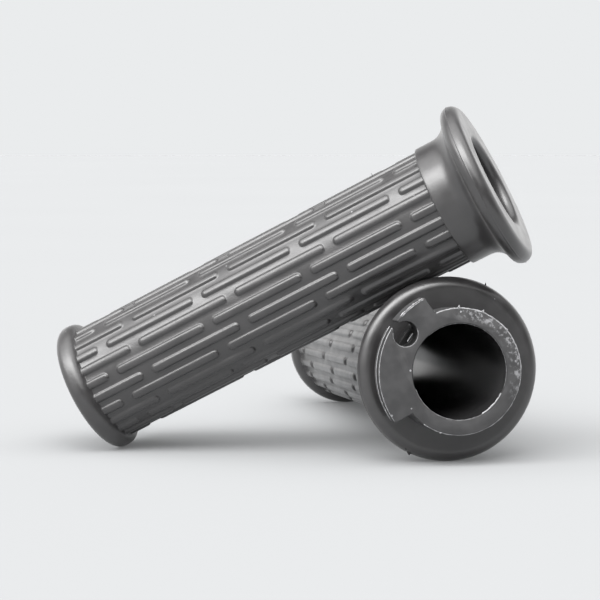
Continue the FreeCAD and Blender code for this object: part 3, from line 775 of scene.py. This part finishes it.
def floor_material(colours, studio):
    """Pale, faintly cloudy floor that glows just enough to meet the backdrop where no shadow falls."""
    material, tree, shader = new_material("pale floor")
    where = tree.nodes.new("ShaderNodeTexCoord").outputs["Object"]
    cloud = place_node(tree, "ShaderNodeTexNoise", {"Vector": where, "Scale": 3.0, "Detail": 1.0})
    tint = mottled(tree, cloud.outputs["Fac"], colours.floor, 0.985, 1.015)
    feed(tree, shader.inputs["Base Color"], tint)
    shader.inputs["Roughness"].default_value = 0.6
    shader.inputs["Specular IOR Level"].default_value = 0.0
    shader.inputs["Emission Color"].default_value = (*colours.backdrop, 1.0)
    shader.inputs["Emission Strength"].default_value = studio.floor_glow
    return material


# ---------------------------------------------------------------- operators
class GRIPS_OT_throttle_sleeve(bpy.types.Operator):
    """Make the ribbed rubber sleeve of the throttle grip"""
    bl_idname = "grips.throttle_sleeve"
    bl_label = "Throttle sleeve"

    def execute(self, context):
        place = throttle_place(context.scene.rib_sizes.throttle_roll)
        rubber_grip(context, "throttle_sleeve_ribbed", "throttle", place, THROTTLE_SIDE,
                    "throttle_rubber", "throttle_sleeve")
        return {"FINISHED"}


class GRIPS_OT_plain_grip(bpy.types.Operator):
    """Make the plain rubber grip that leans on the throttle grip's flange"""
    bl_idname = "grips.plain_grip"
    bl_label = "Plain grip"

    def execute(self, context):
        place = plain_place(context.scene.rib_sizes.plain_roll)
        rubber_grip(context, "plain_grip_ribbed", "plain", place, PLAIN_SIDE, "plain_rubber", "plain_grip")
        return {"FINISHED"}


class GRIPS_OT_throttle_tube(bpy.types.Operator):
    """Make the moulded throttle tube, with rounded edges and a smooth round bore"""
    bl_idname = "grips.throttle_tube"
    bl_label = "Throttle tube"

    def execute(self, context):
        shape = bmesh.new()
        shape.from_mesh(frame["nodes"]["throttle_tube"].data)
        bmesh.ops.remove_doubles(shape, verts=shape.verts, dist=WELD)
        bmesh.ops.dissolve_limit(shape, angle_limit=FLAT_ANGLE, verts=shape.verts, edges=shape.edges)
        mesh = bpy.data.meshes.new("throttle_tube_moulded")
        shape.to_mesh(mesh)
        shape.free()
        mesh.materials.append(nylon_material(context, "moulded nylon", throttle_place()))
        thing = new_thing("throttle_tube_moulded", mesh)
        mesh.shade_smooth()
        edge = thing.modifiers.new("edges", "BEVEL")
        edge.width = context.scene.tube_sizes.edge
        edge.segments = 2
        edge.limit_method = "ANGLE"
        edge.angle_limit = EDGE_ANGLE
        edge.harden_normals = True
        keep_result(thing)
        round_normals(thing.data, throttle_place())
        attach(thing, THROTTLE_SIDE)
        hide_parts("throttle_tube")
        return {"FINISHED"}


class GRIPS_OT_tube_flash(bpy.types.Operator):
    """Make the thin torn flash round the front edges of the throttle tube"""
    bl_idname = "grips.tube_flash"
    bl_label = "Tube flash"

    def execute(self, context):
        sizes, colours = context.scene.tube_sizes, context.scene.finish_colours
        place = throttle_place()
        shape = bmesh.new()
        axis, hole = (0.0, 0.0, 0.0), (sizes.nipple_across, sizes.nipple_up, 0.0)
        edges = [
            # centre, radius, depth behind the face, start, sweep, lean, thickness, steps, seed, lowest,
            # highest, taller spikes
            (axis, sizes.ring, 0.1, 112.0, -120.0, 35, 0.2, 90, 3, 0.05, 0.3,
             ((0.18, 0.8), (0.37, 0.7), (0.6, 0.3))),
            (axis, sizes.ring, 0.1, -8.0, -118.0, 25, 0.16, 90, 5, 0.0, 0.22, ((0.86, 0.3),)),
            (axis, sizes.bore, 0.1, -62.0, 34.0, 150, 0.25, 40, 7, 0.1, 0.6, ()),
            (axis, sizes.bore, 0.1, -20.0, 150.0, 120, 0.16, 90, 9, 0.0, 0.12, ()),
            (axis, sizes.bore, 0.1, -160.0, 90.0, 120, 0.16, 60, 11, 0.0, 0.14, ()),
            (axis, sizes.drum - 0.3 * MM, 0.1, 117.0, 19.5, 70, 0.9, 44, 13, 0.05, 0.5, ((0.9, 0.3),)),
            (axis, sizes.drum - 0.1 * MM, 0.3, 117.0, 20.0, 20, 0.5, 50, 21, 0.05, 0.45, ()),
            (axis, sizes.drum, 0.1, 147.0, 68.0, 30, 0.22, 70, 15, 0.02, 0.14, ()),
            (axis, sizes.drum, 3.2, 146.0, 68.0, 30, 0.22, 70, 19, 0.02, 0.12, ()),
            (hole, sizes.nipple, 0.1, 175.0, 210.0, 120, 0.2, 40, 17, 0.0, 0.16, ()),
            (axis, sizes.ring - 0.9 * MM, 2.6, 139.5, 9.5, 60, 0.5, 16, 23, 0.05, 0.35, ()),
        ]
        for centre, radius, depth, start, sweep, lean, thick, steps, seed, lowest, highest, spikes in edges:
            heights = ragged_heights(steps, seed, lowest * MM, highest * MM,
                                     [(where, height * MM) for where, height in spikes])
            torn_edge(shape, centre, radius, sizes.front - depth * MM, start, sweep, lean, heights,
                      thick * MM)
        material = flash_material(context, "nylon flash", place, colours.flash, lighter(colours.flash, 0.6))
        thing = shape_to_thing("throttle_tube_flash", shape, material)
        finish_piece(thing, place, THROTTLE_SIDE, "tube_plastic")
        return {"FINISHED"}


class GRIPS_OT_rubber_nibs(bpy.types.Operator):
    """Make the small nibs of rubber that the moulds left on both grips"""
    bl_idname = "grips.rubber_nibs"
    bl_label = "Rubber nibs"

    def execute(self, context):
        rubber, colours = context.scene.rubber_sizes, context.scene.finish_colours
        # turn round the grip, height along it, radius, nib height, nib width
        throttle = ((64.0, 111.1, 21.75, 0.9, 0.7), (-116.5, 111.6, 21.75, 0.8, 1.6),
                    (-120.0, 112.4, 21.3, 0.5, 0.8), (30.0, 113.0, 20.6, 0.25, 0.5))
        plain = ((96.0, 88.0, 14.55, 0.8, 0.45), (70.0, 99.9, 15.1, 0.35, 0.6), (40.0, 99.9, 15.1, 0.4, 0.5),
                 (22.0, 99.9, 15.1, 0.35, 0.5), (82.0, 92.0, 14.55, 0.3, 0.4))
        for name, nibs, place, body, slot in (
                ("throttle_sleeve_nibs", throttle, throttle_place(), THROTTLE_SIDE, "throttle_rubber"),
                ("plain_grip_nibs", plain, plain_place(), PLAIN_SIDE, "plain_rubber")):
            shape = bmesh.new()
            for turn, height, radius, tall, wide in nibs:
                way = math.radians(turn)
                outward = Vector((math.cos(way), math.sin(way), 0))
                foot = outward * (radius * MM) + UP * (height * MM)
                nib(shape, foot, outward, UP.cross(outward), tall * MM, wide * MM)
            material = flash_material(context, f"{name} rubber", place, lighter(colours.rubber, 1.6),
                                      lighter(colours.rubber, 0.9))
            thing = shape_to_thing(name, shape, material)
            finish_piece(thing, place, body, slot)
        return {"FINISHED"}


class GRIPS_OT_studio(bpy.types.Operator):
    """Set up the pale floor, the soft light and the camera"""
    bl_idname = "grips.studio"
    bl_label = "Studio"

    def execute(self, context):
        scene, studio, colours = context.scene, context.scene.studio_sizes, context.scene.finish_colours
        middle = (CAD_BOX[0] + CAD_BOX[1]) / 2
        shape = bmesh.new()
        bmesh.ops.create_grid(shape, x_segments=8, y_segments=8, size=studio.floor_reach)
        mesh = bpy.data.meshes.new("studio_floor")
        shape.to_mesh(mesh)
        shape.free()
        mesh.materials.append(floor_material(colours, studio))
        floor = new_thing("studio_floor", mesh)
        mesh.transform(Matrix.Translation((middle.x, middle.y, CAD_BOX[0].z - studio.floor_gap)))

        scene.world = studio_world(colours, studio)
        rim = throttle_place() @ Vector((0, 0, scene.rubber_sizes.rim_plane))
        lens = bpy.data.cameras.new("camera")
        lens.lens = studio.focal_length
        lens.sensor_width = studio.sensor_width
        lens.clip_start, lens.clip_end = 0.01, 50.0
        camera = bpy.data.objects.new("camera", lens)
        scene.collection.objects.link(camera)
        camera.location = (rim.x + studio.camera_aside, rim.y + studio.camera_back, studio.camera_height)
        camera.rotation_euler = (math.pi / 2 - studio.camera_pitch, 0, 0)
        scene.camera = camera
        scene.view_settings.view_transform = "Standard"
        return {"FINISHED"}


class GRIPS_PT_panel(bpy.types.Panel):
    """Lists the pieces of the grip pair and their sizes"""
    bl_idname = "GRIPS_PT_panel"
    bl_label = "Grip pair"
    bl_space_type = "VIEW_3D"
    bl_region_type = "UI"
    bl_category = "Grips"

    def draw(self, context):
        for operator in OPERATORS:
            self.layout.operator(operator.bl_idname)
        for group in SIZE_GROUPS:
            box = self.layout.box()
            settings = getattr(context.scene, group)
            for name in settings.__annotations__:
                box.prop(settings, name)


SIZE_GROUPS = {"rubber_sizes": RubberSizes, "rib_sizes": RibSizes, "tube_sizes": TubeSizes,
               "finish_colours": FinishColours, "studio_sizes": StudioSizes}
OPERATORS = (GRIPS_OT_throttle_sleeve, GRIPS_OT_plain_grip, GRIPS_OT_throttle_tube, GRIPS_OT_tube_flash,
             GRIPS_OT_rubber_nibs, GRIPS_OT_studio)
CLASSES = (*SIZE_GROUPS.values(), *OPERATORS, GRIPS_PT_panel)


def register():
    """Add the classes and the scene's own sizes."""
    for item in CLASSES:
        bpy.utils.register_class(item)
    for name, group in SIZE_GROUPS.items():
        setattr(bpy.types.Scene, name, PointerProperty(type=group))


def unregister():
    """Take them away again."""
    for name in SIZE_GROUPS:
        delattr(bpy.types.Scene, name)
    for item in reversed(CLASSES):
        bpy.utils.unregister_class(item)


def main():
    """Build every piece and the studio."""
    register()
    bpy.ops.grips.throttle_sleeve()
    bpy.ops.grips.plain_grip()
    bpy.ops.grips.throttle_tube()
    bpy.ops.grips.tube_flash()
    bpy.ops.grips.rubber_nibs()
    bpy.ops.grips.studio()


if __name__ == "__main__":
    main()
